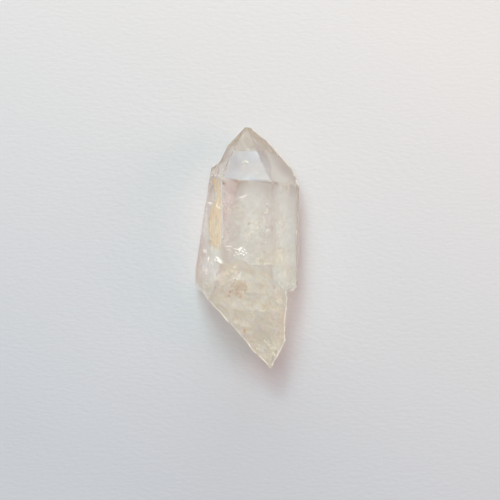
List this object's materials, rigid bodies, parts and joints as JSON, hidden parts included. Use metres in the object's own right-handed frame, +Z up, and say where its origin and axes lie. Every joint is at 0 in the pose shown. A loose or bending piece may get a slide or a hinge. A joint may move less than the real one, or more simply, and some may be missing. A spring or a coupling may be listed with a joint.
{
  "type": "quartz point",
  "caption": "Natural quartz point, clear with a light smoky tint, lying on one long face, with a smaller parallel crystal at its shoulder and a broken, milky root end.",
  "frame": {"origin": "centre of the outline seen from above, at the height of the face the crystal lies on", "axes": "+Y along the crystal towards its point, +X to the right seen from above with the point up, +Z up from the face it lies on"},
  "size_m": [0.0182, 0.042, 0.0135],
  "materials": {
    "smoky_quartz": "clear flat crystal faces, milky rough break at the root end"
  },
  "bodies": {
    "root": {"quartz_point": "smoky_quartz"}
  },
  "joints": []
}
